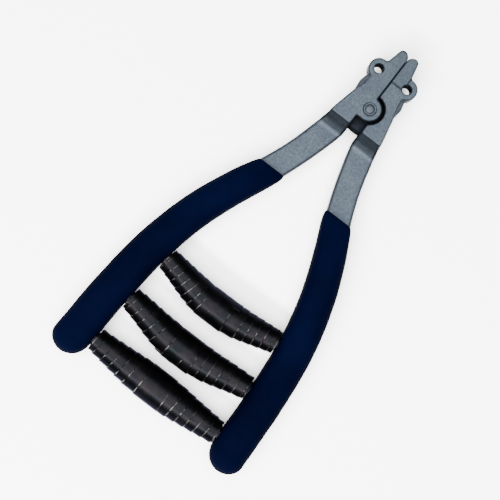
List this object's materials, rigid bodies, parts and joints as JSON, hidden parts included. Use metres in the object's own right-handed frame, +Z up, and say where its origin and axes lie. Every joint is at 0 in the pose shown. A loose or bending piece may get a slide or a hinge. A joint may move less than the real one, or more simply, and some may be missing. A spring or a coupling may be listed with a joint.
{
  "type": "racket stringing starting clamp",
  "caption": "Spring-loaded hand clamp: two pivoted cast levers with flat jaws and eyelets, dipped grips, and volute springs that push the handles apart to close the jaws.",
  "frame": {"origin": "centre of the footprint, on the surface the grips rest on", "axes": "+X from the handles towards the jaws, +Y towards the left lever, +Z up along the pivot"},
  "size_m": [0.1947, 0.103, 0.0176],
  "materials": {
    "cast_metal": "satin, bead blasted",
    "pin_steel": "turned, oiled",
    "dipped_vinyl": "matt dipped coat",
    "spring_steel": "blackened and oiled"
  },
  "bodies": {
    "left_side": {"left_lever": "cast_metal", "left_grip": "dipped_vinyl", "pivot_bush": "pin_steel", "front_stud_left": "pin_steel", "middle_stud_left": "pin_steel", "rear_stud_left": "pin_steel", "front_spring": "spring_steel", "middle_spring": "spring_steel", "rear_spring": "spring_steel"},
    "right_side": {"right_lever": "cast_metal", "right_grip": "dipped_vinyl", "pivot_pin": "pin_steel", "front_stud_right": "pin_steel", "middle_stud_right": "pin_steel", "rear_stud_right": "pin_steel"}
  },
  "joints": [
    {"name": "squeeze", "type": "hinge", "parent": "left_side", "child": "right_side", "pos_m": [0.06803, 0, 0.0118], "axis": [0, 0, -1], "range_deg": [0, 12], "stiffness_Nm_per_rad": 60, "springref_deg": -6.88, "deforming": ["front_spring", "middle_spring", "rear_spring"]}
  ]
}
